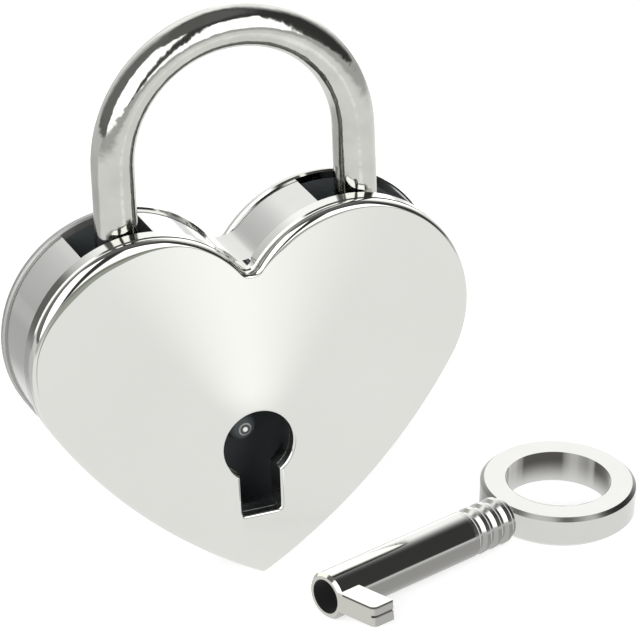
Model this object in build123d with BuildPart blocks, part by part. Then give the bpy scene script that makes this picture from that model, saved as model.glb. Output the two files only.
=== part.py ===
from build123d import *
from math import acos, asin, atan2, cos, degrees, radians, sin, sqrt
import os

# Mini heart padlock with its tubular key. Millimetres.
# X runs to the right as the keyhole face is seen, Y runs from the face to the back, and Z is up.
# The origin is the inside of the shackle's crown, where the closed lock hangs; Y = 0 is mid-thickness.

# Shackle
rod_diameter = 2.8
leg_spacing = 16.4          # between the centres of the two legs
shackle_shift = 0.4         # the shackle's middle lies this far right of the heart's centreline
free_leg_extra = 0.4        # the left leg ends this much lower than the pivot in the right leg
swing_angle = 60.0          # how far the open shackle swings over to the right

# Heart outline, all arcs: two lobes, two flanks, a fillet in the notch and one at the tip
heart_width = 30.0
lobe_radius = 8.0
lobe_drop = 18.8            # from the crown down to the centres of the lobes
flank_radius = 36.6
flank_angle = 32.0          # below the horizontal, where a lobe runs into its flank
notch_radius = 0.7
tip_radius = 0.5

# Layers from front to back
cover_thickness = 0.7
lock_plate_thickness = 1.0
wall_depth = 4.2
back_thickness = 0.7
cover_round = 0.48          # rounded front edge of the cover
back_round = 0.35
seam_bevel = 0.12           # broken edges that show as a dark line between two layers

# Wall strips
wall_thickness = 0.8
wall_setback = 0.2          # the plates stand this much proud of the wall
wall_notch_radius = 1.5     # the strip bends more gently through the notch than the plates do
left_opening_start = 62.0   # degrees round the lobe from its outer side, for both openings
left_opening_end = 99.5
right_opening_start = 37.0
right_opening_end = 101.0

# Keyhole
key_below_lobes = 7.75      # from the lobes' centres down to the keyhole's centre
keyhole_diameter = 4.75
keyhole_slot = 2.7
keyhole_reach = 4.85        # from the keyhole's centre down to the slot's end
slot_corner = 0.25
keyhole_round = 0.25        # rounded edge of the cover's keyhole

# Latch, pins and posts; heights are from the level of the lobes' centres
pivot_above_lobes = 4.0     # the shackle's pin
pin_diameter = 1.2
shoulder_diameter = 2.4
pin_clearance = 0.03        # radial, for a part that turns on its pin
tenon_diameter = 0.9
tenon_clearance = 0.02      # radial, between a tenon and the plate it is riveted in
tenon_depth = 0.45
side_play = 0.1             # between a turning part and what it turns beside
eye_radius = 1.7
eye_thickness = 2.2
eye_flat = 2.6              # the leg is flattened to the eye's thickness this far above the pin
lever_width = 1.4
lever_thickness = 1.2
lever_offset = 2.2          # from the left leg's centre to the lever's pivot
lever_below_lobes = 0.8
lever_lean = 0.3            # the upper arm leans this much away from the leg
lever_tail = 9.6            # from the pivot down to the hooked tail
lever_hook = 2.9            # from the pivot across to the end of the hook
lever_knee = 2.6            # the tail bends inwards this far above the hook
lever_kick = 1.3            # and slants this far across down to it
lever_hub = 1.5             # radius round the pivot
nose_height = 1.0
nose_ramp = 0.5             # sloping top of the nose, on which the closing leg pushes
notch_depth = 1.0
notch_play = 0.1            # between the nose and each side of the leg's notch
leg_below_notch = 1.0
leg_chamfer = 0.3
leg_bevel = 0.8             # bevelled end of the left leg, which pushes the nose aside
spring_thickness = 0.25
spring_width = 1.1
spring_offset = 3.7         # from the lever's pivot across to the spring's post
spring_rise = 1.4           # from the lever's pivot up to the spring's post
spring_reach = 4.6          # from the lever's pivot up its arm to where the spring leans on it
spring_curl = 270.0         # degrees of the curl round the post
spring_grip = 0.02          # radial, between the spring's curled end and its post
post_diameter = 1.7
side_post_out = 11.3        # from the centreline to each side post
side_post_below_lobes = 1.8
tip_post_below_lobes = 14.4

# Key
barrel_diameter = 3.2
barrel_bore = 2.3
barrel_bevel = 0.2
bore_depth = 7.0
neck_chamfer = 0.4
key_length = 20.65          # from the barrel's end to the bow's centre
bow_diameter = 10.4
bow_hole = 7.0
bow_thickness = 2.2
bow_bevel = 0.25
groove_count = 4
groove_pitch = 0.98
groove_width = 0.66
groove_floor = 0.2          # width of the groove's flat bottom
groove_depth = 0.2
last_groove_gap = 0.05      # from the middle of the last groove to the bow's rim
bit_reach = 4.7             # from the key's axis to the bit's end
bit_width = 1.65            # along the key's axis
bit_thickness = 1.4
bit_round = 0.4
bit_score_depth = 0.12      # shallow line across the bit's end
bit_score_width = 0.14
bit_turn = 8.0              # degrees between the bit and the plane of the bow
post_play = 0.1             # radial, between the key's bore and the post
post_tip_round = 0.73       # the post's tip is rounded nearly to a dome
post_behind_face = 2.9      # from the lock's face back to the tip of the key post

# Where the key lies: beside the lock, on the level of its lowest point
key_end_right = 1.28        # from the lock's centreline to the barrel's end
key_end_ahead = 10.86       # from the lock's mid-thickness to the barrel's end
key_heading = 19.5          # degrees from X towards Y, from the barrel's end to the bow

# Worked out from the above
rod_radius = rod_diameter / 2
bend_radius = leg_spacing / 2
bend_z = rod_radius - bend_radius
left_leg_x = shackle_shift - bend_radius
right_leg_x = shackle_shift + bend_radius
lobe_offset = heart_width / 2 - lobe_radius
lobe_z = -lobe_drop
pivot_z = lobe_z + pivot_above_lobes
key_z = lobe_z - key_below_lobes
side_post_z = lobe_z - side_post_below_lobes
tip_post_z = lobe_z - tip_post_below_lobes
face_y = -(cover_thickness + lock_plate_thickness + wall_depth + back_thickness) / 2
lock_plate_y = face_y + cover_thickness
inner_front_y = lock_plate_y + lock_plate_thickness
inner_back_y = inner_front_y + wall_depth
back_y = inner_back_y + back_thickness
leg_end_z = pivot_z - free_leg_extra
nose_bottom = leg_end_z + leg_below_notch + notch_play
nose_top = nose_bottom + nose_height
notch_x = left_leg_x + rod_radius - notch_depth
lever_x = left_leg_x + lever_offset
lever_z = lobe_z - lever_below_lobes
lever_back_y = rod_radius
lever_front_y = lever_back_y - lever_thickness
spring_x = lever_x + spring_offset
spring_z = lever_z + spring_rise

os.makedirs("parts", exist_ok=True)


def facing(y):
    """A sketch plane at depth y that faces the front, so that extruding goes towards the face."""
    return Plane((0, y, 0), x_dir=(1, 0, 0), z_dir=(0, -1, 0))


def heart(setback=0.0, notch=notch_radius):
    """The heart's outline as a face, moved inwards by setback."""
    flank_shift = flank_radius - lobe_radius
    flank_x = lobe_offset - flank_shift * cos(radians(flank_angle))
    flank_z = lobe_z + flank_shift * sin(radians(flank_angle))
    notch_z = lobe_z + sqrt((lobe_radius + notch) ** 2 - lobe_offset**2)
    notch_angle = degrees(atan2(notch_z - lobe_z, -lobe_offset))
    with BuildSketch() as outline:
        with BuildLine():
            CenterArc((0, notch_z), notch + setback, -90, notch_angle - 90)
            CenterArc((lobe_offset, lobe_z), lobe_radius - setback, -flank_angle, notch_angle + flank_angle)
            if tip_radius > setback:
                tip_z = flank_z - sqrt((flank_radius - tip_radius) ** 2 - flank_x**2)
                tip_angle = degrees(atan2(flank_z - tip_z, -flank_x))
                CenterArc((0, tip_z), tip_radius - setback, -90, 90 - tip_angle)
            else:
                tip_angle = degrees(acos(-flank_x / (flank_radius - setback)))
            CenterArc((flank_x, flank_z), flank_radius - setback, -tip_angle, tip_angle - flank_angle)
            mirror(about=Plane.YZ)
        make_face()
    return outline.sketch


def keyhole():
    """The keyhole's outline as a face: a round hole for the barrel and a slot below it for the bit."""
    with BuildSketch() as outline:
        with Locations((0, key_z)):
            Circle(keyhole_diameter / 2)
            with Locations((0, -keyhole_reach / 2)):
                Rectangle(keyhole_slot, keyhole_reach)
        ends = outline.vertices().sort_by(Axis.Y)[:2]
        fillet(ends, slot_corner)
    return outline.sketch


def lobe_sector(side, start_angle, end_angle):
    """The slice of a lobe, from its centre outwards, that a shackle opening takes out of the wall."""
    middle_angle = (start_angle + end_angle) / 2
    reach = 2 * lobe_radius
    centre_x = side * lobe_offset
    corners = [(centre_x, lobe_z)]
    for angle in (start_angle, middle_angle, end_angle):
        across = side * reach * cos(radians(angle))
        corners.append((centre_x + across, lobe_z + reach * sin(radians(angle))))
    with BuildSketch() as sector:
        with BuildLine():
            Polyline(*corners, close=True)
        make_face()
    return sector.sketch


def shouldered_pin(place, shoulder_y):
    """A pin between the plates: a thick foot on the back cover, a thin pin from it into the lock plate."""
    with BuildPart() as pin:
        with BuildSketch(facing(inner_back_y)):
            with Locations(place):
                Circle(shoulder_diameter / 2)
        extrude(amount=inner_back_y - shoulder_y)
        with BuildSketch(facing(shoulder_y)):
            with Locations(place):
                Circle(pin_diameter / 2)
        extrude(amount=shoulder_y - inner_front_y + tenon_depth)
        with BuildSketch(facing(inner_back_y + tenon_depth)):
            with Locations(place):
                Circle(tenon_diameter / 2)
        extrude(amount=tenon_depth)
    return pin.part


def thick_line(points, width):
    """A strip of the given width that follows the points, with round ends and outer corners."""
    with BuildSketch() as strip:
        with BuildLine():
            Polyline(*points)
            offset(amount=width / 2)
        make_face()
    return strip.sketch


def wall_strips():
    """The faces of the two wall strips, the long one round the tip first."""
    with BuildSketch() as strips:
        add(heart(wall_setback, wall_notch_radius))
        add(heart(wall_setback + wall_thickness, wall_notch_radius), mode=Mode.SUBTRACT)
        add(lobe_sector(-1, left_opening_start, left_opening_end), mode=Mode.SUBTRACT)
        add(lobe_sector(1, right_opening_start, right_opening_end), mode=Mode.SUBTRACT)
    return strips.sketch.faces().sort_by(Axis.Y)


# Every place where a pin or post is riveted into the plates
shackle_pin_place = (right_leg_x, pivot_z)
lever_pin_place = (lever_x, lever_z)
spring_post_place = (spring_x, spring_z)
case_post_places = [(-side_post_out, side_post_z), (side_post_out, side_post_z), (0, tip_post_z)]
tenon_radius = tenon_diameter / 2

# Back cover: a plain heart plate, with blind sockets inside for the tenons of the pins and posts
with BuildPart() as back_cover:
    with BuildSketch(facing(back_y)):
        add(heart())
    extrude(amount=back_thickness)
    fillet(back_cover.faces().sort_by(Axis.Y)[-1].edges(), back_round)
    chamfer(back_cover.faces().sort_by(Axis.Y)[0].edges(), seam_bevel)
    with BuildSketch(facing(inner_back_y)):
        with Locations(*case_post_places, shackle_pin_place, lever_pin_place, spring_post_place, (0, key_z)):
            Circle(tenon_radius + tenon_clearance)
    extrude(amount=-tenon_depth, mode=Mode.SUBTRACT)
back_cover.part.label = "back_cover"
export_step(back_cover.part, "parts/back_cover.step")

# Lock plate: holds the front ends of the pins and posts, and guides the key with its own keyhole
with BuildPart() as lock_plate:
    with BuildSketch(facing(inner_front_y)):
        add(heart())
    extrude(amount=lock_plate_thickness)
    chamfer(lock_plate.faces().sort_by(Axis.Y)[0].edges(), seam_bevel)
    with BuildSketch(facing(inner_front_y)):
        add(keyhole())
    extrude(amount=lock_plate_thickness, mode=Mode.SUBTRACT)
    with BuildSketch(facing(inner_front_y)):
        with Locations(shackle_pin_place, lever_pin_place, spring_post_place):
            Circle(pin_diameter / 2 + tenon_clearance)
        with Locations(*case_post_places):
            Circle(tenon_radius + tenon_clearance)
    extrude(amount=tenon_depth, mode=Mode.SUBTRACT)
lock_plate.part.label = "lock_plate"
export_step(lock_plate.part, "parts/lock_plate.step")

# Front cover: the polished face, with its edge rounded all round and at the keyhole
with BuildPart() as front_cover:
    with BuildSketch(facing(lock_plate_y)):
        add(heart())
    extrude(amount=cover_thickness)
    fillet(front_cover.faces().sort_by(Axis.Y)[0].edges(), cover_round)
    chamfer(front_cover.faces().sort_by(Axis.Y)[-1].edges(), seam_bevel)
    with BuildSketch(facing(lock_plate_y)):
        add(keyhole())
    extrude(amount=cover_thickness, mode=Mode.SUBTRACT)
    fillet(front_cover.faces().sort_by(Axis.Y)[0].inner_wires()[0].edges(), keyhole_round)
front_cover.part.label = "front_cover"
export_step(front_cover.part, "parts/front_cover.step")

# Side wall: one strip from the left shackle opening round the tip to the right one
with BuildPart() as side_wall:
    with BuildSketch(facing(inner_back_y)):
        add(wall_strips()[0])
    extrude(amount=wall_depth)
side_wall.part.label = "side_wall"
export_step(side_wall.part, "parts/side_wall.step")

# Notch wall: the short strip between the two openings, bent down into the heart's notch
with BuildPart() as notch_wall:
    with BuildSketch(facing(inner_back_y)):
        add(wall_strips()[-1])
    extrude(amount=wall_depth)
notch_wall.part.label = "notch_wall"
export_step(notch_wall.part, "parts/notch_wall.step")

# Case posts: three alike, riveted at both ends, that keep the plates together
with BuildPart() as case_posts:
    with BuildSketch(facing(inner_back_y)):
        with Locations(*case_post_places):
            Circle(post_diameter / 2)
    extrude(amount=wall_depth)
    with BuildSketch(facing(inner_back_y + tenon_depth)):
        with Locations(*case_post_places):
            Circle(tenon_radius)
    extrude(amount=wall_depth + 2 * tenon_depth)
case_posts.part.label = "case_posts"
export_step(case_posts.part, "parts/case_posts.step")

# Key post: stands in the middle of the keyhole, and the hollow key slides over its round tip
key_post_radius = barrel_bore / 2 - post_play
key_post_tip_y = face_y + post_behind_face
with BuildPart() as key_post:
    with BuildSketch(facing(inner_back_y)):
        with Locations((0, key_z)):
            Circle(key_post_radius)
    extrude(amount=inner_back_y - key_post_tip_y)
    fillet(key_post.faces().sort_by(Axis.Y)[0].edges(), post_tip_round)
    with BuildSketch(facing(inner_back_y + tenon_depth)):
        with Locations((0, key_z)):
            Circle(tenon_radius)
    extrude(amount=tenon_depth)
key_post.part.label = "key_post"
export_step(key_post.part, "parts/key_post.step")

# Shackle: one round rod; a flat eye ends the right leg, and a notch above a bevel ends the left one
with BuildPart() as shackle:
    with BuildSketch(Plane.XY.offset(bend_z)):
        with Locations((left_leg_x, 0)):
            Circle(rod_radius)
    revolve(axis=Axis((shackle_shift, 0, bend_z), (0, 1, 0)), revolution_arc=180)
    with BuildSketch(Plane.XY.offset(bend_z)):
        with Locations((left_leg_x, 0)):
            Circle(rod_radius)
    extrude(amount=leg_end_z - bend_z)
    chamfer(shackle.faces().sort_by(Axis.Z)[0].edges(), leg_chamfer)
    with BuildSketch(Plane.XY.offset(bend_z)):
        with Locations((right_leg_x, 0)):
            Circle(rod_radius)
    extrude(amount=pivot_z - bend_z)
    with BuildSketch(Plane.XY.offset(pivot_z + eye_flat)):
        with Locations((right_leg_x, 0)):
            Rectangle(rod_diameter, rod_diameter)
            Rectangle(rod_diameter, eye_thickness, mode=Mode.SUBTRACT)
    extrude(amount=-eye_flat, mode=Mode.SUBTRACT)
    with BuildSketch(facing(eye_thickness / 2)):
        with Locations(shackle_pin_place):
            Circle(eye_radius)
    extrude(amount=eye_thickness)
    with BuildSketch(facing(eye_thickness / 2)):
        with Locations(shackle_pin_place):
            Circle(pin_diameter / 2 + pin_clearance)
    extrude(amount=eye_thickness, mode=Mode.SUBTRACT)
    with BuildSketch(facing(rod_radius)):
        with BuildLine():
            Polyline(
                (notch_x, nose_bottom - notch_play),
                (left_leg_x + rod_radius, nose_bottom - notch_play),
                (left_leg_x + rod_radius, nose_top + notch_play),
                (notch_x, nose_top + notch_play),
                close=True,
            )
        make_face()
        with BuildLine():
            Polyline(
                (left_leg_x + rod_radius - leg_bevel, leg_end_z),
                (left_leg_x + rod_radius, leg_end_z),
                (left_leg_x + rod_radius, leg_end_z + leg_bevel),
                close=True,
            )
        make_face()
    extrude(amount=rod_diameter, mode=Mode.SUBTRACT)
shackle.part.label = "shackle"
export_step(shackle.part, "parts/shackle.step")

# Shackle pin: its foot carries the eye of the right leg, clear of the back cover
with BuildPart() as shackle_pin:
    add(shouldered_pin(shackle_pin_place, eye_thickness / 2 + side_play))
shackle_pin.part.label = "shackle_pin"
export_step(shackle_pin.part, "parts/shackle_pin.step")

# Latch lever: its nose sits in the leg's notch, and its tail hooks round into the way of the key's bit
lever_top = (lever_x + lever_lean, (nose_bottom + nose_top) / 2)
lever_foot_z = lever_z - lever_tail
with BuildPart() as latch_lever:
    with BuildSketch(facing(lever_back_y)):
        tail_bend = (lever_x, lever_foot_z + lever_knee)
        tail_foot = (lever_x + lever_kick, lever_foot_z)
        tail_hook = (lever_x + lever_hook, lever_foot_z)
        add(thick_line([lever_top, lever_pin_place, tail_bend, tail_foot, tail_hook], lever_width))
        with BuildLine():
            Polyline(
                (lever_top[0], nose_bottom),
                (lever_top[0], nose_top),
                (notch_x + notch_play + nose_ramp, nose_top),
                (notch_x + notch_play, nose_top - nose_ramp),
                (notch_x + notch_play, nose_bottom),
                close=True,
            )
        make_face()
    extrude(amount=lever_thickness)
    with BuildSketch(facing(lever_back_y)):
        with Locations(lever_pin_place):
            Circle(lever_hub)
    extrude(amount=lever_back_y - inner_front_y - side_play)
    with BuildSketch(facing(lever_back_y)):
        with Locations(lever_pin_place):
            Circle(pin_diameter / 2 + pin_clearance)
    extrude(amount=lever_back_y - inner_front_y, mode=Mode.SUBTRACT)
latch_lever.part.label = "latch_lever"
export_step(latch_lever.part, "parts/latch_lever.step")

# Latch pin: its foot carries the lever at the depth that the key's bit reaches
with BuildPart() as latch_pin:
    add(shouldered_pin(lever_pin_place, lever_back_y + side_play))
latch_pin.part.label = "latch_pin"
export_step(latch_pin.part, "parts/latch_pin.step")

# Latch spring: a bent strip of spring steel, curled round its post, that leans on the lever's upper arm
spring_back_y = (lever_front_y + lever_back_y + spring_width) / 2
arm = (Vector(*lever_top) - Vector(*lever_pin_place)).normalized()
arm_side = Vector(arm.Y, -arm.X)
spring_tip = Vector(*lever_pin_place) + arm * spring_reach
spring_tip += arm_side * (lever_width / 2 + spring_thickness / 2 + spring_grip)
curl_radius = pin_diameter / 2 + spring_grip + spring_thickness / 2
span = spring_tip - Vector(*spring_post_place)
curl_start = degrees(atan2(span.Y, span.X) - acos(curl_radius / span.length))
with BuildPart() as latch_spring:
    with BuildSketch(facing(spring_back_y)):
        with BuildLine():
            curl = CenterArc(spring_post_place, curl_radius, curl_start, -spring_curl)
            Line(curl @ 0, spring_tip)
            offset(amount=spring_thickness / 2)
        make_face()
    extrude(amount=spring_width)
latch_spring.part.label = "latch_spring"
export_step(latch_spring.part, "parts/latch_spring.step")

# Spring post: the spring's curled end sits on its foot
with BuildPart() as spring_post:
    add(shouldered_pin(spring_post_place, spring_back_y + spring_grip))
spring_post.part.label = "spring_post"
export_step(spring_post.part, "parts/spring_post.step")

# Key: built along X with the barrel's end at the origin and the bow in the XY plane, then laid down
barrel_radius = barrel_diameter / 2
bow_radius = bow_diameter / 2
neck_x = key_length - sqrt(bow_radius**2 - barrel_radius**2)
last_groove_x = key_length - bow_radius - last_groove_gap
with BuildPart() as key_bit:
    with BuildSketch(Plane.YZ):
        with Locations((-bit_reach / 2, 0)):
            Rectangle(bit_reach, bit_thickness)
    extrude(amount=bit_width)
    outer_corners = key_bit.edges().filter_by(Axis.Z).group_by(Axis.Y)[0]
    fillet(outer_corners.sort_by(Axis.X)[0], bit_round)
    with BuildSketch(Plane.YZ):
        with Locations((-bit_reach, 0)):
            Rectangle(2 * bit_score_depth, bit_score_width)
    extrude(amount=bit_width, mode=Mode.SUBTRACT)
with BuildPart() as key_bow:
    with BuildSketch(Plane.XY.offset(-bow_thickness / 2)):
        with Locations((key_length, 0)):
            Circle(bow_radius)
    extrude(amount=bow_thickness)
    chamfer(key_bow.faces().filter_by(Axis.Z).edges(), bow_bevel)
with BuildPart() as straight_key:
    with BuildSketch(Plane.YZ):
        Circle(barrel_radius)
    extrude(amount=neck_x)
    chamfer(straight_key.faces().sort_by(Axis.X)[0].edges(), barrel_bevel)
    chamfer(straight_key.faces().sort_by(Axis.X)[-1].edges(), neck_chamfer)
    with BuildSketch():
        for number in range(groove_count):
            groove_x = last_groove_x - number * groove_pitch
            with BuildLine():
                Polyline(
                    (groove_x - groove_width / 2, barrel_radius),
                    (groove_x - groove_floor / 2, barrel_radius - groove_depth),
                    (groove_x + groove_floor / 2, barrel_radius - groove_depth),
                    (groove_x + groove_width / 2, barrel_radius),
                    close=True,
                )
            make_face()
    revolve(axis=Axis.X, mode=Mode.SUBTRACT)
    add(key_bit.part, rotation=(-bit_turn, 0, 0))
    add(key_bow.part)
    with BuildSketch(Plane.XY.offset(-bow_thickness / 2)):
        with Locations((key_length, 0)):
            Circle(bow_hole / 2)
    extrude(amount=bow_thickness, mode=Mode.SUBTRACT)
    with BuildSketch(Plane.YZ):
        Circle(barrel_bore / 2)
    extrude(amount=bore_depth, mode=Mode.SUBTRACT)

# The key lies on its barrel and on the edge of its bow
bow_lean = asin((barrel_radius - bow_thickness / 2) / bow_radius)
heading = radians(key_heading)
key_axis = Vector(cos(heading), sin(heading), 0)
key_back = Vector(-sin(heading), cos(heading), 0)
bow_normal = Vector(0, 0, 1) * cos(bow_lean) - key_back * sin(bow_lean)
key_end_z = front_cover.part.bounding_box().min.Z + barrel_radius
key_rest = Plane(origin=(key_end_right, -key_end_ahead, key_end_z), x_dir=key_axis, z_dir=bow_normal)
key = key_rest.location * straight_key.part
key.label = "key"
export_step(key, "parts/key.step")
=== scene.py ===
from math import acos, asin, atan2, cos, degrees, pi, radians, sin, sqrt

import bpy
from mathutils import Matrix, Vector
from mathutils.geometry import tessellate_polygon


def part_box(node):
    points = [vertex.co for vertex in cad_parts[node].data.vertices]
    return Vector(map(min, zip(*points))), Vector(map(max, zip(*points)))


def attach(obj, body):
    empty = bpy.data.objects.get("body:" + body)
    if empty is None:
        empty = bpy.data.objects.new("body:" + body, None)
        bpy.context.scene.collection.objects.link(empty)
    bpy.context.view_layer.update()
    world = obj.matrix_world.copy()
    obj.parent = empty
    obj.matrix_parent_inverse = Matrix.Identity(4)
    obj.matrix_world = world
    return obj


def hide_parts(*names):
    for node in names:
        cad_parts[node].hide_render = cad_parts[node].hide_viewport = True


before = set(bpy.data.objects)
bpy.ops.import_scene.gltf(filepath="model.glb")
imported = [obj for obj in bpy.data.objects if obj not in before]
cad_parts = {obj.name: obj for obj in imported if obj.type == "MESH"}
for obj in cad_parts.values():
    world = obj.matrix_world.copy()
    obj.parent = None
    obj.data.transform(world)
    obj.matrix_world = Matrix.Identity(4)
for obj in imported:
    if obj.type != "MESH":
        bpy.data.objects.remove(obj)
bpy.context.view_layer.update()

# The polished heart-shaped face. Stamped from sheet, its front edge is rounded on a mop
# and it is nickel plated to a mirror, so it has hardly any grain, only a slow waviness.


def cloud(finish, where, size, detail):
    """Soft noise from 0 to 1, in patches of a size."""
    noise = finish.node_tree.nodes.new("ShaderNodeTexNoise")
    noise.inputs["Scale"].default_value = 1 / size
    noise.inputs["Detail"].default_value = detail
    finish.node_tree.links.new(where, noise.inputs["Vector"])
    return noise.outputs["Fac"]


def blend(owner, share, first, second):
    """The first colour where the share is 0 and the second where it is 1. Each may be fixed
    or a socket."""
    mix = owner.node_tree.nodes.new("ShaderNodeMix")
    mix.data_type = "RGBA"
    for name, value in (("Factor", share), ("A", first), ("B", second)):
        if isinstance(value, (int, float)):
            mix.inputs[name].default_value = value
        elif isinstance(value, tuple):
            mix.inputs[name].default_value = (*value, 1)
        else:
            owner.node_tree.links.new(value, mix.inputs[name])
    return mix.outputs["Result"]


def plated(name, colour, haze_colour, roughness, haze_size):
    """Bright plating on metal: cloudy in colour and gloss by a hair, as a mop leaves it.
    Gives the material and the two nodes that later steps join on to."""
    finish = bpy.data.materials.new(name)
    finish.use_nodes = True
    nodes = finish.node_tree.nodes
    links = finish.node_tree.links
    metal = nodes["Principled BSDF"]
    metal.inputs["Metallic"].default_value = 1.0
    place = nodes.new("ShaderNodeTexCoord")
    haze = cloud(finish, place.outputs["Object"], haze_size, detail=3.0)
    links.new(blend(finish, haze, colour, haze_colour), metal.inputs["Base Color"])
    gloss = nodes.new("ShaderNodeMapRange")
    gloss.inputs["From Min"].default_value = 0.3
    gloss.inputs["From Max"].default_value = 0.7
    gloss.inputs["To Min"].default_value = roughness[0]
    gloss.inputs["To Max"].default_value = roughness[1]
    links.new(haze, gloss.inputs["Value"])
    links.new(gloss.outputs["Result"], metal.inputs["Roughness"])
    return finish, metal, place


def wavy(finish, metal, place, size, height, stretch=(1, 1, 1)):
    """Slow unevenness of the surface that bends what it mirrors. Stretched, it is drawing lines."""
    nodes = finish.node_tree.nodes
    links = finish.node_tree.links
    spread = nodes.new("ShaderNodeMapping")
    spread.inputs["Scale"].default_value = stretch
    links.new(place.outputs["Object"], spread.inputs["Vector"])
    relief = nodes.new("ShaderNodeBump")
    relief.inputs["Distance"].default_value = height
    relief.inputs["Strength"].default_value = 1.0
    links.new(cloud(finish, spread.outputs["Vector"], size, detail=1.0), relief.inputs["Height"])
    if metal.inputs["Normal"].is_linked:
        under = metal.inputs["Normal"].links[0].from_socket
        links.new(under, relief.inputs["Normal"])
    links.new(relief.outputs["Normal"], metal.inputs["Normal"])


def finish_node(node, finish):
    """Puts a finish on a part of the frame."""
    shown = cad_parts[node]
    shown.data.materials.clear()
    shown.data.materials.append(finish)


cover_nickel, metal, place = plated(
    "cover_nickel",
    colour=(0.748, 0.755, 0.718),
    haze_colour=(0.726, 0.733, 0.696),
    roughness=(0.030, 0.055),
    haze_size=0.006,
)
wavy(cover_nickel, metal, place, size=0.009, height=0.000003)
finish_node("front_cover", cover_nickel)

# Where the face turns over into its rounded edge, a greyer line is painted on as a painted
# reflection, broadest on the upper left and fainter on the right lobe. It starts sharp at
# the flat and fades outwards. The angles are degrees of lean away from the flat.
shoulder_reflection_colour = (0.300, 0.315, 0.272)
shoulder_start = (0.6, 1.3)
shoulder_end = (9.0, 25.0)
shoulder_way = (-0.50, 0, 0.866)
shoulder_spread = (0.30, 0.62)
shoulder_right = 0.70
lobe_change = (-0.001, 0.001)
least_off_flat = 1e-8


def reckon(owner, operation, first, second=None):
    """One sum in the nodes of a finish. Either side may be a number or a socket."""
    step = owner.node_tree.nodes.new("ShaderNodeMath")
    step.operation = operation
    for number, value in enumerate((first, second)):
        if isinstance(value, (int, float)):
            step.inputs[number].default_value = value
        elif value is not None:
            owner.node_tree.links.new(value, step.inputs[number])
    return step.outputs["Value"]


def all_of(owner, share, *others):
    """The product of several shares: 1 only where all of them are."""
    for other in others:
        share = reckon(owner, "MULTIPLY", share, other)
    return share


def combine(owner, operation, first, second=None):
    """One sum with places or directions. The second may be a fixed one or a socket."""
    step = owner.node_tree.nodes.new("ShaderNodeVectorMath")
    step.operation = operation
    owner.node_tree.links.new(first, step.inputs[0])
    if isinstance(second, (tuple, Vector)):
        step.inputs[1].default_value = tuple(second)
    elif second is not None:
        owner.node_tree.links.new(second, step.inputs[1])
    as_number = operation in ("DOT_PRODUCT", "DISTANCE", "LENGTH")
    return step.outputs["Value" if as_number else "Vector"]


def facing(finish, place, way):
    """The cosine between the surface and a way: 1 where it looks straight that way."""
    return combine(finish, "DOT_PRODUCT", place.outputs["Normal"], way)


def sideways(finish, place):
    """How far to the right of the lock's middle a point lies."""
    return combine(finish, "DOT_PRODUCT", place.outputs["Object"], (1, 0, 0))


def fade(owner, value, start, end):
    """0 before start and 1 after end, with a soft rise between."""
    rise = owner.node_tree.nodes.new("ShaderNodeMapRange")
    rise.interpolation_type = "SMOOTHSTEP"
    rise.inputs["From Min"].default_value = start
    rise.inputs["From Max"].default_value = end
    owner.node_tree.links.new(value, rise.inputs["Value"])
    return rise.outputs["Result"]


def coloured(finish, metal, share, colour):
    """Gives a finish another colour where the share is 1."""
    under = metal.inputs["Base Color"].links[0].from_socket
    finish.node_tree.links.new(blend(finish, share, under, colour), metal.inputs["Base Color"])


forwards = facing(cover_nickel, place, (0, -1, 0))
off_flat = reckon(cover_nickel, "SUBTRACT", 1.0, all_of(cover_nickel, forwards, forwards))
lean = reckon(cover_nickel, "SQRT", reckon(cover_nickel, "MAXIMUM", off_flat, least_off_flat))
line_start = fade(cover_nickel, lean, *(sin(radians(angle)) for angle in shoulder_start))
line_end = fade(cover_nickel, lean, *(sin(radians(angle)) for angle in reversed(shoulder_end)))
up_left = reckon(cover_nickel, "DIVIDE", facing(cover_nickel, place, shoulder_way), lean)
side = fade(cover_nickel, up_left, *shoulder_spread)
on_right = fade(cover_nickel, sideways(cover_nickel, place), *lobe_change)
fainter = reckon(cover_nickel, "MULTIPLY", on_right, 1 - shoulder_right)
lobe = reckon(cover_nickel, "SUBTRACT", 1.0, fainter)
# The grey shoulder line is a painted reflection.
shoulder = all_of(cover_nickel, line_start, line_end, side, lobe)
coloured(cover_nickel, metal, shoulder, shoulder_reflection_colour)

# The face as the mop leaves it: from its rim the metal swells inwards in a flat oval sweep,
# which is broadest on the upper left of each lobe, and the keyhole's edge is rolled in. Each
# lobe's swell is given with the distance from the middle at which it is full.
heart_low, heart_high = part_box("front_cover")
heart_width = heart_high.x - heart_low.x
lobe_radius = 0.008
lobe_out = heart_width / 2 - lobe_radius
lobe_height = heart_high.z - lobe_radius
flank_radius = 0.0366
flank_angle = 32.0
notch_radius = 0.0007
tip_radius = 0.0005
face_depth = heart_low.y
seam_depth = heart_high.y
seam_bevel = 0.00012
crown_width = 0.00030
crown_swell = {"left": (0.00070, 0.0040), "right": (0.00030, 0.0020)}
crown_way = Vector((-0.47, 0.883))
crown_spread = (8.0, 55.0)
crown_depth = 0.00056
crown_steps = 18
keyhole_below_lobes = 0.00775
keyhole_height = lobe_height - keyhole_below_lobes
keyhole_radius = 0.002375
keyhole_slot = 0.0027
keyhole_reach = 0.00485
slot_corner = 0.00025
rolled_edge = 0.00021
rolled_steps = 8
heart_steps = {"notch": 8, "lobe": 72, "flank": 36, "tip": 6}
keyhole_steps = {"ring": 56, "corner": 6}
same_place = 1e-7
flank_out = lobe_out - (flank_radius - lobe_radius) * cos(radians(flank_angle))
flank_height = lobe_height + (flank_radius - lobe_radius) * sin(radians(flank_angle))
notch_height = lobe_height + sqrt((lobe_radius + notch_radius) ** 2 - lobe_out**2)
notch_turn = degrees(atan2(notch_height - lobe_height, -lobe_out))
tip_height = flank_height - sqrt((flank_radius - tip_radius) ** 2 - flank_out**2)
tip_turn = degrees(atan2(flank_height - tip_height, -flank_out))


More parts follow.
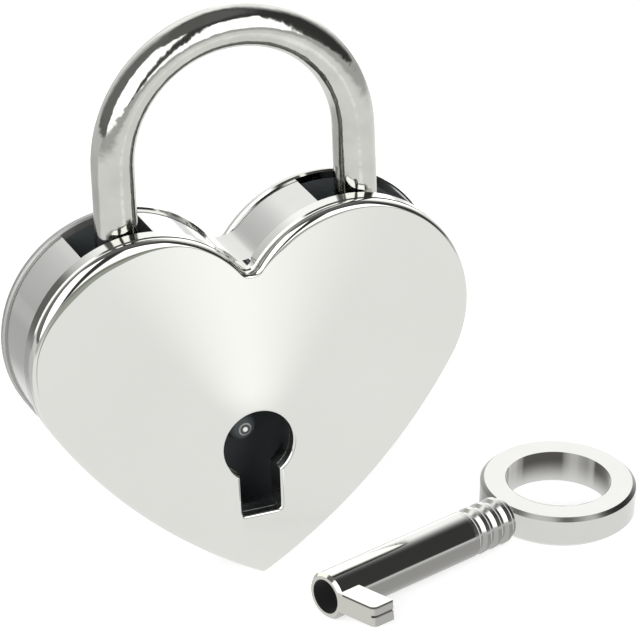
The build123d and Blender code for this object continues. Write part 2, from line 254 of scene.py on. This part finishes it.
def arc(middle, radius, start, end, steps):
    """Points along an arc, each with its direction away from the arc's middle."""
    points = []
    for step in range(steps + 1):
        turn = radians(start + (end - start) * step / steps)
        outwards = Vector((cos(turn), sin(turn)))
        points.append((Vector(middle) + radius * outwards, outwards))
    return points


def heart_rim():
    """The heart's outline, from the notch round the right lobe to the tip and back up."""
    steps = heart_steps
    notch = arc((0, notch_height), notch_radius, -90, notch_turn - 180, steps["notch"])
    half = [(point, -inwards) for point, inwards in notch]
    half += arc((lobe_out, lobe_height), lobe_radius, notch_turn, -flank_angle, steps["lobe"])
    flank = (flank_out, flank_height)
    half += arc(flank, flank_radius, -flank_angle, -tip_turn, steps["flank"])
    half += arc((0, tip_height), tip_radius, -tip_turn, -90, steps["tip"])
    other = [(Vector((-p.x, p.y)), Vector((-n.x, n.y))) for p, n in reversed(half)]
    return half + other[1:-1]


def set_back(rim, setbacks):
    """The rim moved inwards, by one setback or by each point's own."""
    if isinstance(setbacks, (int, float)):
        setbacks = [setbacks] * len(rim)
    return [point - setback * outwards for (point, outwards), setback in zip(rim, setbacks)]


def crown_reach(point, outwards):
    """How far the sweep goes inwards from one point of the rim."""
    swell, full_out = crown_swell["left" if point.x < 0 else "right"]
    turn = degrees(acos(min(max(outwards.dot(crown_way.normalized()), -1.0), 1.0)))
    full, none = crown_spread
    share = min(max((none - turn) / (none - full), 0.0), 1.0)
    return crown_width + swell * min(abs(point.x) / full_out, 1.0) * share**2 * (3 - 2 * share)


def keyhole_rim(setback):
    """The keyhole's outline, grown by setback into the face, with directions into the hole."""
    middle = (0, keyhole_height)
    reach = keyhole_radius + setback
    half_slot = keyhole_slot / 2 + setback
    shoulder = degrees(asin(half_slot / reach))
    foot = keyhole_height - keyhole_reach + slot_corner
    slot_top = keyhole_height - reach * cos(radians(shoulder))
    ring = arc(middle, reach, -90 + shoulder, 270 - shoulder, keyhole_steps["ring"])
    ring.append((Vector((-half_slot, slot_top)), Vector((-1, 0))))
    corner = keyhole_slot / 2 - slot_corner
    corner_radius = slot_corner + setback
    ring += arc((-corner, foot), corner_radius, 180, 270, keyhole_steps["corner"])
    ring += arc((corner, foot), corner_radius, 270, 360, keyhole_steps["corner"])
    ring.append((Vector((half_slot, slot_top)), Vector((1, 0))))
    return [(point, -away) for point, away in ring]


corners = []
directions = []
faces = []


def lay_ring(places, depth, normals):
    """Adds one ring of corners at a depth, and gives the number of its first corner."""
    first = len(corners)
    corners.extend(Vector((place.x, depth, place.y)) for place in places)
    directions.extend(normal.normalized() for normal in normals)
    return first


def skin(rings, count, turned):
    """Joins rings one to the next, with the skin's front on the side that turned says."""
    for ring, next_ring in zip(rings, rings[1:]):
        for number in range(count):
            after = (number + 1) % count
            quad = (ring + number, ring + after, next_ring + after, next_ring + number)
            faces.append(quad[::-1] if turned else quad)


def lay_flat(outer, hole, depth, forwards):
    """Fills the flat between the rim and the keyhole, towards the front or the back."""
    loops = []
    for places in (outer, hole):
        before = places[-1:] + places
        pairs = zip(places, before)
        loops.append([place.to_3d() for place, last in pairs if (place - last).length > same_place])
    side = Vector((0, -1, 0)) if forwards else Vector((0, 1, 0))
    places = [place.to_2d() for loop in loops for place in loop]
    first = lay_ring(places, depth, [side] * len(places))
    for a, b, c in tessellate_polygon(loops):
        span = (places[b] - places[a]).to_3d().cross((places[c] - places[a]).to_3d()).z
        anticlockwise = (a, b, c) if span > 0 else (c, b, a)
        order = anticlockwise if forwards else anticlockwise[::-1]
        faces.append(tuple(first + number for number in order))


rim = heart_rim()
rim_out = [Vector((outwards.x, 0, outwards.y)) for point, outwards in rim]
back_out = [out + Vector((0, 1, 0)) for out in rim_out]
bevel_rings = [
    lay_ring(set_back(rim, seam_bevel), seam_depth, back_out),
    lay_ring(set_back(rim, 0), seam_depth - seam_bevel, back_out),
]
skin(bevel_rings, len(rim), turned=True)
crown = [crown_reach(point, outwards) for point, outwards in rim]
crown_rings = [lay_ring(set_back(rim, 0), seam_depth - seam_bevel, rim_out)]
for step in range(crown_steps + 1):
    turn = pi / 2 * step / crown_steps
    depth = face_depth + crown_depth * (1 - sin(turn))
    forwards = Vector((0, -sin(turn) / crown_depth, 0))
    normals = [out * cos(turn) / width + forwards for out, width in zip(rim_out, crown)]
    swept = set_back(rim, [width * (1 - cos(turn)) for width in crown])
    crown_rings.append(lay_ring(swept, depth, normals))
skin(crown_rings, len(rim), turned=True)

roll_rings = []
for step in range(rolled_steps, -1, -1):
    turn = pi / 2 * step / rolled_steps
    hole = keyhole_rim(rolled_edge * (1 - cos(turn)))
    normals = [Vector((into.x * cos(turn), -sin(turn), into.y * cos(turn))) for point, into in hole]
    depth = face_depth + rolled_edge * (1 - sin(turn))
    roll_rings.append(lay_ring([point for point, into in hole], depth, normals))
wall_in = [Vector((into.x, 0, into.y)) for point, into in hole]
roll_rings.append(lay_ring([point for point, into in hole], seam_depth, wall_in))
skin(roll_rings, len(hole), turned=False)

flat_hole = [point for point, into in keyhole_rim(rolled_edge)]
lay_flat(set_back(rim, crown), flat_hole, face_depth, forwards=True)
seam_hole = [point for point, into in hole]
lay_flat(set_back(rim, seam_bevel), seam_hole, seam_depth, forwards=False)

face_mesh = bpy.data.meshes.new("polished_face")
face_mesh.from_pydata(corners, [], faces)
for polygon in face_mesh.polygons:
    polygon.use_smooth = True
face_mesh.normals_split_custom_set_from_vertices(directions)
polished_face = bpy.data.objects.new("polished_face", face_mesh)
bpy.context.scene.collection.objects.link(polished_face)
polished_face.data.materials.append(cover_nickel)
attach(polished_face, "case")
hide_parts("front_cover")

# Two more hearts from the same tool, in thicker sheet, plated in the same bath but polished
# less. The lock plate's edge shows behind the face, and its keyhole inside the first. Its
# edge is rougher and painted darker on the left, darkest on the upper left: painted reflections.
side_start = (-0.0085, -0.0115)
side_reflection_colour = (0.47, 0.47, 0.455)
dark_reflection_way = Vector((-0.819, 0, 0.574))
dark_reflection_spread = (0.925, 0.985)
dark_reflection_colour = (0.115, 0.112, 0.100)
edge_roughness = 0.10


def toned(finish, metal, share, colour, roughness):
    """Gives a finish another colour and gloss where the share is 1."""
    coloured(finish, metal, share, colour)
    links = finish.node_tree.links
    gloss = finish.node_tree.nodes.new("ShaderNodeMix")
    links.new(share, gloss.inputs["Factor"])
    links.new(metal.inputs["Roughness"].links[0].from_socket, gloss.inputs["A"])
    gloss.inputs["B"].default_value = roughness
    links.new(gloss.outputs["Result"], metal.inputs["Roughness"])


plate_nickel, metal, place = plated(
    "plate_nickel",
    colour=(0.70, 0.70, 0.67),
    haze_colour=(0.64, 0.64, 0.61),
    roughness=(0.06, 0.11),
    haze_size=0.003,
)
wavy(plate_nickel, metal, place, size=0.004, height=0.000004)
# The edge's left side and its upper left get painted reflections in darker greys.
plate_across = sideways(plate_nickel, place)
on_side = fade(plate_nickel, plate_across, *side_start)
toned(plate_nickel, metal, on_side, side_reflection_colour, edge_roughness)
dark_reflection_side = fade(plate_nickel, facing(plate_nickel, place, dark_reflection_way), *dark_reflection_spread)
on_left = reckon(plate_nickel, "LESS_THAN", plate_across, -lobe_out)
toned(plate_nickel, metal, all_of(plate_nickel, dark_reflection_side, on_left), dark_reflection_colour, edge_roughness)
finish_node("lock_plate", plate_nickel)

# The back cover is the third heart, which closes the case. Its edge is rougher on the left,
# and painted darker grey there as a painted reflection, but its flat back isn't. Inside, in
# the rounds that the shackle's openings and the keyhole show, it is painted dark as painted shade.
back_side_start = (-0.0065, -0.0085)
back_side_reflection_colour = (0.53, 0.53, 0.515)
back_side_roughness = 0.50
flat_back = (0.9, 0.3)
inside_shade_colour = (0.088, 0.098, 0.106)
inside_roughness = 0.55
inside_margin = 0.0006
inside_reach = lobe_radius - inside_margin
inside_places = (
    (-lobe_out, lobe_height),
    (lobe_out, lobe_height),
    (0.0, keyhole_height),
)
flat_front = 0.99


def paint_shade(finish, metal, share, colour=inside_shade_colour, roughness=inside_roughness):
    """Paints dull dark shade over a finish where the share is 1, so that no metal shows."""
    toned(finish, metal, share, colour, roughness)
    finish.node_tree.links.new(reckon(finish, "SUBTRACT", 1.0, share), metal.inputs["Metallic"])


back_nickel, metal, place = plated(
    "back_nickel",
    colour=(0.63, 0.63, 0.61),
    haze_colour=(0.58, 0.58, 0.56),
    roughness=(0.05, 0.09),
    haze_size=0.003,
)
wavy(back_nickel, metal, place, size=0.006, height=0.000004)
on_side = fade(back_nickel, sideways(back_nickel, place), *back_side_start)
off_back = fade(back_nickel, facing(back_nickel, place, (0, 1, 0)), *flat_back)
back_side = all_of(back_nickel, on_side, off_back)
# Painted reflection: the edge's left side is painted a darker grey.
toned(back_nickel, metal, back_side, back_side_reflection_colour, back_side_roughness)
front = reckon(back_nickel, "GREATER_THAN", facing(back_nickel, place, (0, -1, 0)), flat_front)
level = combine(back_nickel, "MULTIPLY", place.outputs["Object"], (1, 0, 1))
spans = [combine(back_nickel, "DISTANCE", level, (x, 0, z)) for x, z in inside_places]
nearest = spans[0]
for span in spans[1:]:
    nearest = reckon(back_nickel, "MINIMUM", nearest, span)
inside = reckon(back_nickel, "LESS_THAN", nearest, inside_reach)
# Painted shade inside the case, where the openings show it.
paint_shade(back_nickel, metal, all_of(back_nickel, front, inside))
finish_node("back_cover", back_nickel)

# Two strips bent on edge between the plates, set back a little from their rims. Strip keeps
# the long drawing lines of the mill, and the bending leaves it a little uneven. The sides
# that look into the case are painted dark, as painted shade.
heart_middle = (heart_low + heart_high) / 2

wall_nickel, metal, place = plated(
    "wall_nickel",
    colour=(0.575, 0.575, 0.56),
    haze_colour=(0.53, 0.53, 0.515),
    roughness=(0.07, 0.13),
    haze_size=0.003,
)
wavy(wall_nickel, metal, place, size=0.005, height=0.000006)
spoke = combine(wall_nickel, "SUBTRACT", place.outputs["Object"], heart_middle)
level = combine(wall_nickel, "MULTIPLY", spoke, (1, 0, 1))
outwards = facing(wall_nickel, place, level)
# Painted shade on the sides that look into the case.
paint_shade(wall_nickel, metal, reckon(wall_nickel, "LESS_THAN", outwards, 0.0))
finish_node("side_wall", wall_nickel)
finish_node("notch_wall", wall_nickel)

# Posts and pins turned from steel rod, with tenons that sit in the two plates: bare steel
# with the marks of the tool, seen only through the keyhole and the shackle's openings.
turned_stretch = (0.1, 1, 0.1)

post_steel, metal, place = plated(
    "post_steel",
    colour=(0.60, 0.59, 0.57),
    haze_colour=(0.50, 0.49, 0.47),
    roughness=(0.18, 0.30),
    haze_size=0.0006,
)
wavy(post_steel, metal, place, size=0.0003, height=0.000002, stretch=turned_stretch)
for node in ("case_posts", "shackle_pin", "latch_pin", "spring_post"):
    finish_node(node, post_steel)

# The key post, turned as the others are, stands behind the keyhole. It is painted dark as
# painted shade but for its end, where a painted glint stays bright in one spot and a ring round it.
glint_right = 0.00014
glint_low = 0.00012
glint_spot = Vector((glint_right, 0, keyhole_height - glint_low))
glint_radius = (0.00014, 0.00020)
glint_ring_radius = 0.00040
glint_ring_width = 0.00007
glint_ring_shade = 0.55

key_post_steel, metal, place = plated(
    "key_post_steel",
    colour=(0.86, 0.85, 0.83),
    haze_colour=(0.74, 0.73, 0.70),
    roughness=(0.10, 0.18),
    haze_size=0.0006,
)
# A painted glint: the spot and the ring stay bright, the rest gets painted shade.
level = combine(key_post_steel, "MULTIPLY", place.outputs["Object"], (1, 0, 1))
from_spot = combine(key_post_steel, "DISTANCE", level, glint_spot)
off_spot = fade(key_post_steel, from_spot, *glint_radius)
past_ring = reckon(key_post_steel, "SUBTRACT", from_spot, glint_ring_radius)
off_ring = fade(key_post_steel, reckon(key_post_steel, "ABSOLUTE", past_ring), 0.0, glint_ring_width)
half_off_ring = reckon(key_post_steel, "MAXIMUM", off_ring, glint_ring_shade)
paint_shade(key_post_steel, metal, all_of(key_post_steel, off_spot, half_off_ring))
finish_node("key_post", key_post_steel)

# The latch: a lever pressed from steel sheet, tumbled and left bare, which turns on its pin.
# Its nose holds the notch in the shackle's left leg.
lever_steel, metal, place = plated(
    "lever_steel",
    colour=(0.52, 0.50, 0.47),
    haze_colour=(0.42, 0.40, 0.38),
    roughness=(0.28, 0.42),
    haze_size=0.001,
)
wavy(lever_steel, metal, place, size=0.0004, height=0.000003)
finish_node("latch_lever", lever_steel)

# The latch's spring: a strip of blued spring steel, with its end curled round its post. It
# pushes the lever's nose home.
spring_steel, metal, place = plated(
    "spring_steel",
    colour=(0.30, 0.32, 0.38),
    haze_colour=(0.24, 0.24, 0.28),
    roughness=(0.22, 0.34),
    haze_size=0.0012,
)
wavy(spring_steel, metal, place, size=0.0004, height=0.000002, stretch=turned_stretch)
finish_node("latch_spring", spring_steel)

# One rod, bent to its bow and tumbled before it is plated, so the mirror on it is a little
# lumpy and the bands that it shows waver. It turns on the pin through its right leg.
shackle_nickel, metal, place = plated(
    "shackle_nickel",
    colour=(0.68, 0.68, 0.65),
    haze_colour=(0.51, 0.51, 0.475),
    roughness=(0.08, 0.14),
    haze_size=0.0022,
)
wavy(shackle_nickel, metal, place, size=0.003, height=0.00003)
wavy(shackle_nickel, metal, place, size=0.0006, height=0.000018)
finish_node("shackle", shackle_nickel)

# A one-piece key with a drilled barrel, a ring for a bow and turned rings at the neck.
# Die-cast, so its plated skin is a little softer than that of the sheet.
barrel_radius = 0.0016
bore_radius = 0.00115
bore_depth = 0.007
neck_start = 0.0118
neck_end = 0.0155
bow_reach = 0.02065
bow_radius = 0.0052
bow_hole_radius = 0.0035
bow_half_thickness = 0.0011
bit_width = 0.00165
bit_rise = radians(2.5)
key_heading = radians(19.5)
key_end = Vector((0.00128, -0.01086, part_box("key")[0].z + barrel_radius))
key_axis = Vector((cos(key_heading), sin(key_heading), 0))
bit_way = Vector((sin(key_heading), -cos(key_heading), 0))
bit_normal = Vector((0, 0, cos(bit_rise))) - sin(bit_rise) * bit_way
bow_middle = key_end + bow_reach * key_axis
bow_lean = asin((barrel_radius - bow_half_thickness) / bow_radius)
bow_normal = Vector((0, 0, cos(bow_lean))) + sin(bow_lean) * bit_way

key_nickel, metal, place = plated(
    "key_nickel",
    colour=(0.675, 0.675, 0.655),
    haze_colour=(0.63, 0.63, 0.61),
    roughness=(0.06, 0.11),
    haze_size=0.003,
)
wavy(key_nickel, metal, place, size=0.003, height=0.000008)
finish_node("key", key_nickel)

from_end = combine(key_nickel, "SUBTRACT", place.outputs["Object"], key_end)
reach = combine(key_nickel, "DOT_PRODUCT", from_end, key_axis)
on_axis = combine(key_nickel, "PROJECT", from_end, key_axis)
radius = combine(key_nickel, "LENGTH", combine(key_nickel, "SUBTRACT", from_end, on_axis))
from_middle = combine(key_nickel, "SUBTRACT", place.outputs["Object"], bow_middle)
on_normal = combine(key_nickel, "PROJECT", from_middle, bow_normal)
off_middle = combine(key_nickel, "SUBTRACT", from_middle, on_normal)
bow_spoke = combine(key_nickel, "LENGTH", off_middle)

# The rings at the neck and the flat of the barrel's end are less polished than the barrel.
# The pairs of cosines say where a surface starts to count as facing a way.
neck_softness = 0.0002
end_facing = (0.5, 0.9)


def within(owner, value, start, end, softness):
    """1 where the value lies between start and end, fading to 0 over the softness."""
    rise = fade(owner, value, start - softness / 2, start + softness / 2)
    fall = fade(owner, value, end + softness / 2, end - softness / 2)
    return all_of(owner, rise, fall)


def key_facing(way, start, end):
    """1 where the key's surface looks along the way, between two cosines."""
    return fade(key_nickel, facing(key_nickel, place, way), start, end)


on_neck = within(key_nickel, reach, neck_start, neck_end, neck_softness)
toned(key_nickel, metal, on_neck, colour=(0.62, 0.62, 0.60), roughness=0.24)
end_face = key_facing(-key_axis, *end_facing)
on_end = all_of(key_nickel, end_face, reckon(key_nickel, "LESS_THAN", reach, bit_width))
toned(key_nickel, metal, on_end, colour=(0.575, 0.565, 0.52), roughness=0.16)

# The bit is cast in one with the barrel. Its outer end, which is scored across, is painted
# greyer as painted shade, and a painted dark line of shade lies under its upper edge.
bit_margin = 0.0001
score_start = 0.0044
score_half_width = 0.00008
bit_softness = 0.00002
edge_height = (0.00050, 0.00060)
edge_facing = (0.9, 0.7)
on_bit = all_of(
    key_nickel,
    reckon(key_nickel, "GREATER_THAN", radius, barrel_radius + 2 * bit_margin),
    reckon(key_nickel, "LESS_THAN", reach, bit_width + bit_margin),
)
# Painted shade on the bit's outer end.
bit_end_shade = all_of(key_nickel, on_bit, key_facing(bit_way, *end_facing))
toned(key_nickel, metal, bit_end_shade, colour=(0.42, 0.415, 0.40), roughness=0.12)
bit_height = combine(key_nickel, "DOT_PRODUCT", from_end, bit_normal)
bit_reach = combine(key_nickel, "DOT_PRODUCT", from_end, bit_way)
on_score = all_of(
    key_nickel,
    on_bit,
    within(key_nickel, bit_height, -score_half_width, score_half_width, bit_softness),
    reckon(key_nickel, "GREATER_THAN", bit_reach, score_start),
)
toned(key_nickel, metal, on_score, colour=(0.05, 0.05, 0.048), roughness=0.30)
# A painted line of shade under the bit's upper edge.
bit_edge = fade(key_nickel, bit_height, *edge_height)
painted_edge_shade = all_of(key_nickel, on_bit, bit_edge, key_facing(bit_normal, *edge_facing))
toned(key_nickel, metal, painted_edge_shade, colour=(0.10, 0.10, 0.095), roughness=0.12)

# The bow is a flat ring, cast in one with the neck. Its outer bevel is painted grey, a painted
# reflection, and its side is painted dark as painted shade where it looks towards the neck.
rim_margin = 0.0003
rim_softness = 0.00002
bevel_facing = (0.4, 0.6)
off_top_facing = (0.95, 0.85)
side_facing = (0.6, 0.4)
bow_shade = Vector((-0.966, 0.259, 0))
shade_facing = (0.78, 0.97)
on_rim = within(
    key_nickel, bow_spoke, bow_radius - rim_margin, bow_radius + rim_margin, rim_softness
)
# A painted reflection on the outer bevel.
bevel_reflection = all_of(
    key_nickel,
    on_rim,
    key_facing(bow_normal, *bevel_facing),
    key_facing(bow_normal, *off_top_facing),
)
toned(key_nickel, metal, bevel_reflection, colour=(0.33, 0.33, 0.315), roughness=0.28)
# Painted shade on the side that looks towards the neck.
bow_side_shade = all_of(
    key_nickel,
    on_rim,
    key_facing(bow_normal, *side_facing),
    key_facing(bow_shade, *shade_facing),
)
toned(key_nickel, metal, bow_side_shade, colour=(0.22, 0.22, 0.205), roughness=0.14)

# The barrel's underside, which lies on the paper, is painted darker as painted shade, and its
# drilled bore is painted dark as painted shade.
mesh_slack = 0.00002
under_facing = (-0.36, -0.14)
bore_margin = 0.001
# Painted shade under the barrel.
under_barrel_shade = all_of(
    key_nickel,
    key_facing(Vector((0, 0, -1)), *under_facing),
    reckon(key_nickel, "LESS_THAN", reach, neck_end),
    reckon(key_nickel, "LESS_THAN", radius, barrel_radius + mesh_slack),
    reckon(key_nickel, "SUBTRACT", 1.0, end_face),
)
toned(key_nickel, metal, under_barrel_shade, colour=(0.275, 0.273, 0.262), roughness=0.12)
# Painted shade in the bore.
in_bore = all_of(
    key_nickel,
    reckon(key_nickel, "LESS_THAN", radius, bore_radius + mesh_slack),
    reckon(key_nickel, "LESS_THAN", reach, bore_depth + bore_margin),
)
paint_shade(key_nickel, metal, in_bore, colour=(0.004, 0.004, 0.005), roughness=0.95)

# The bow's hole is painted darker towards its upper edge, as painted shade, in uneven
# streaks along the hole.
hole_slack = 0.00003
hole_shade = (-0.0014, 0.0006)
streak_size = 0.0020
streak_spread = (0.36, 0.50)
streak_least = 0.40
streaks = cloud(key_nickel, off_middle, streak_size, detail=1.0)
streaked = reckon(key_nickel, "ADD", fade(key_nickel, streaks, *streak_spread), streak_least)
rise = combine(key_nickel, "DOT_PRODUCT", from_middle, bow_normal)
# Painted shade in the bow's hole.
hole_painted_shade = all_of(
    key_nickel,
    reckon(key_nickel, "LESS_THAN", bow_spoke, bow_hole_radius + hole_slack),
    fade(key_nickel, rise, *hole_shade),
    reckon(key_nickel, "MINIMUM", streaked, 1.0),
)
toned(key_nickel, metal, hole_painted_shade, colour=(0.090, 0.085, 0.078), roughness=0.16)

# The lock's face doesn't mirror the key in the photo, so the key is left out of mirrors.
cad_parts["key"].visible_glossy = False

# A sheet of white paper on a grey table. The lock's tip and the key both touch it. On the
# left, out of the picture, a grey patch of painted shade lies on it, which the lock's wall
# mirrors. The patch is darkest near the lock.
floor_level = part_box("key")[0].z
table_half_width = 3.0
table_corners = ((-1, -1), (1, -1), (1, 1), (-1, 1))
paper_radius = 0.16
paper_fade = 0.12
paper_colour = (0.86, 0.86, 0.86)
table_colour = (0.47, 0.47, 0.47)
shade_patch_way = Vector((-0.934, 0.358, 0))
shade_patch_start = 0.023
shade_patch_softness = 0.014
shade_patch_front = 0.010
shade_patch_tones = (0.80, 0.54)
shade_patch_end = (0.07, 0.16)

table_mesh = bpy.data.meshes.new("floor")
table_mesh.from_pydata(
    [(x * table_half_width, y * table_half_width, floor_level) for x, y in table_corners],
    [],
    [(0, 1, 2, 3)],
)
floor = bpy.data.objects.new("floor", table_mesh)
bpy.context.scene.collection.objects.link(floor)

floor_paper = bpy.data.materials.new("floor_paper")
floor_paper.use_nodes = True
nodes = floor_paper.node_tree.nodes
links = floor_paper.node_tree.links
sheet = nodes["Principled BSDF"]
sheet.inputs["Roughness"].default_value = 1.0
sheet.inputs["Specular IOR Level"].default_value = 0.0
place = nodes.new("ShaderNodeTexCoord")
split = nodes.new("ShaderNodeSeparateXYZ")
links.new(place.outputs["Object"], split.inputs["Vector"])
away = combine(floor_paper, "LENGTH", place.outputs["Object"])
beyond = fade(floor_paper, away, paper_radius - paper_fade / 2, paper_radius + paper_fade / 2)
# The patch of painted shade on the paper.
shade_patch_reach = combine(floor_paper, "DOT_PRODUCT", place.outputs["Object"], shade_patch_way)
past_shade_patch = fade(floor_paper, shade_patch_reach, shade_patch_start, shade_patch_start + shade_patch_softness)
behind_lock = fade(floor_paper, split.outputs["Y"], shade_patch_front, shade_patch_front + shade_patch_softness)
on_shade_patch = all_of(floor_paper, past_shade_patch, behind_lock)
off_shade_patch = reckon(floor_paper, "SUBTRACT", 1.0, on_shade_patch)
farther = fade(floor_paper, shade_patch_reach, *shade_patch_end)
shade_patch_lift = reckon(floor_paper, "MULTIPLY", farther, shade_patch_tones[0] - shade_patch_tones[1])
shade_patch_tone = reckon(floor_paper, "SUBTRACT", shade_patch_tones[0], shade_patch_lift)
table_part = all_of(floor_paper, beyond, off_shade_patch)
shade_patch_part = all_of(floor_paper, on_shade_patch, shade_patch_tone)
greyed = reckon(floor_paper, "ADD", table_part, shade_patch_part)
ground = blend(floor_paper, greyed, paper_colour, table_colour)
links.new(ground, sheet.inputs["Emission Color"])

# A patch of the paper in front is lit more, in a fan that opens away from the lock, and
# the face mirrors it as a soft upright glow.
fan_start = Vector((0.0070, -0.0230, floor_level))
fan_way = Vector((0.300, -0.954, 0))
fan_across = Vector((0.954, 0.300, 0))
fan_first_width = 0.0014
fan_opening = 0.36
fan_rise = 0.0075
fan_end = (0.034, 0.050)
fan_level = 0.32
from_fan = combine(floor_paper, "SUBTRACT", place.outputs["Object"], fan_start)
fan_reach = combine(floor_paper, "DOT_PRODUCT", from_fan, fan_way)
fan_side = reckon(
    floor_paper, "ABSOLUTE", combine(floor_paper, "DOT_PRODUCT", from_fan, fan_across)
)
fan_spread = reckon(floor_paper, "MULTIPLY", fan_reach, fan_opening)
fan_width = reckon(floor_paper, "ADD", fan_spread, fan_first_width)
fan_edge = fade(floor_paper, reckon(floor_paper, "DIVIDE", fan_side, fan_width), 1.0, 0.0)
fan_begun = fade(floor_paper, fan_reach, 0.0, fan_rise)
fan_ended = fade(floor_paper, fan_reach, *reversed(fan_end))
fan = all_of(floor_paper, fan_edge, fan_begun, fan_ended, fan_level)

# Behind on the right, light from a window lies on the paper. The angles are in degrees,
# across from straight behind towards the right.
to_degrees = 180 / pi
window_across = (17, 43)
window_softness = 12
window_fade = (0.070, 0.120)
window_level = 0.95
behind_way = reckon(floor_paper, "ARCTAN2", split.outputs["X"], split.outputs["Y"])
window_way = reckon(floor_paper, "MULTIPLY", behind_way, to_degrees)
lit_way = within(floor_paper, window_way, *window_across, window_softness)
lit_start = fade(floor_paper, away, *window_fade)
window_light = all_of(floor_paper, lit_way, lit_start, window_level)
lit = reckon(floor_paper, "ADD", fan, window_light)

# The camera, and what the metal mirrors, see the paper as white: paper that is lit to white
# in the picture shows as white in the metal too.
camera_lift = 0.70
mirror_lift = 1.083
mirror_shading = 0.10
rays = nodes.new("ShaderNodeLightPath")
mirrored = reckon(
    floor_paper, "MAXIMUM", rays.outputs["Is Glossy Ray"], rays.outputs["Is Transmission Ray"]
)
dimmed = blend(floor_paper, mirror_shading, (0, 0, 0), ground)
links.new(blend(floor_paper, mirrored, ground, dimmed), sheet.inputs["Base Color"])
camera_part = reckon(floor_paper, "MULTIPLY", rays.outputs["Is Camera Ray"], camera_lift)
mirror_part = all_of(floor_paper, mirrored, reckon(floor_paper, "ADD", lit, mirror_lift))
links.new(reckon(floor_paper, "ADD", camera_part, mirror_part), sheet.inputs["Emission Strength"])
floor.data.materials.append(floor_paper)

# The room that the metal mirrors: a soft box on each side of the lens, a white wall
# behind, dark room to the left, to the right and overhead. Angles are in degrees,
# across from the front towards the right, and up from level.
room_level = 0.05
left_wall_level = 0.15
ceiling_level = 0.10
soft_box_level = 2.2
soft_box_lean = 0.3
back_wall_level = 0.95
back_glow_level = 0.37
skirting_level = 0.45

world = bpy.data.worlds.new("studio")
bpy.context.scene.world = world
world.use_nodes = True
nodes = world.node_tree.nodes
links = world.node_tree.links
sky = nodes["Background"]
way = nodes.new("ShaderNodeTexCoord")
split = nodes.new("ShaderNodeSeparateXYZ")
links.new(way.outputs["Generated"], split.inputs["Vector"])
ahead = reckon(world, "MULTIPLY", split.outputs["Y"], -1.0)
from_front = reckon(world, "ARCTAN2", split.outputs["X"], ahead)
from_back = reckon(world, "ARCTAN2", split.outputs["X"], split.outputs["Y"])
from_level = reckon(world, "ARCSINE", split.outputs["Z"])
across = reckon(world, "MULTIPLY", from_front, to_degrees)
across_behind = reckon(world, "MULTIPLY", from_back, to_degrees)
height = reckon(world, "MULTIPLY", from_level, to_degrees)
lean_back = reckon(world, "MULTIPLY", height, soft_box_lean)
leaning = reckon(world, "SUBTRACT", across, lean_back)


def light_patch(level, bearing, sides, rise, heights, softness, rise_softness=None):
    """The light of one box or wall: its level where both angles are within its edges."""
    across_it = within(world, bearing, *sides, softness)
    up_it = within(world, rise, *heights, rise_softness or softness)
    return all_of(world, across_it, up_it, level)


patches = (
    light_patch(soft_box_level, across, (-73, -18), height, (2, 58), 6),
    light_patch(soft_box_level, leaning, (-6, 34), height, (-8, 47), 6),
    light_patch(back_wall_level, across_behind, (-33, 66), height, (-20, 50), 40, 24),
    light_patch(back_glow_level, across_behind, (-12, 58), height, (10, 46), 14, 20),
    light_patch(window_level, across_behind, window_across, height, (-10, 13), window_softness),
    light_patch(left_wall_level, across, (-150, -73), height, (0, 62), 20),
    light_patch(ceiling_level, height, (58, 95), height, (58, 95), 20),
)
light = room_level
for patch in patches:
    light = reckon(world, "ADD", patch, light)
skirting = light_patch(skirting_level, height, (-95, 2), height, (-95, 2), 6)
links.new(reckon(world, "MAXIMUM", light, skirting), sky.inputs["Strength"])
sky.inputs["Color"].default_value = (1, 1, 1, 1)

# A long lens from the left and above, as in the photo. It isn't held level, so the picture
# leans by two degrees. Its place comes from fitting the lock's outline.
camera_azimuth = radians(-20.953)
camera_elevation = radians(24.723)
camera_roll = radians(-2.251)
camera_distance = 0.318773
camera_target = Vector((0.005823, 0, -0.019774))
camera_lens = 275.29

towards = Vector(
    (
        sin(camera_azimuth) * cos(camera_elevation),
        -cos(camera_azimuth) * cos(camera_elevation),
        sin(camera_elevation),
    )
)
right = (-towards).cross(Vector((0, 0, 1))).normalized()
up = right.cross(-towards)
rolled_right = right * cos(camera_roll) + up * sin(camera_roll)
rolled_up = up * cos(camera_roll) - right * sin(camera_roll)
lens = bpy.data.cameras.new("camera")
lens.lens = camera_lens
lens.sensor_width = 36.0
lens.sensor_fit = "HORIZONTAL"
lens.clip_start = 0.01
lens.clip_end = 20.0
camera = bpy.data.objects.new("camera", lens)
bpy.context.scene.collection.objects.link(camera)
turned = Matrix((rolled_right, rolled_up, towards)).transposed()
moved = Matrix.Translation(camera_target + towards * camera_distance)
camera.matrix_world = moved @ turned.to_4x4()
bpy.context.scene.camera = camera
bpy.context.scene.view_settings.view_transform = "Standard"
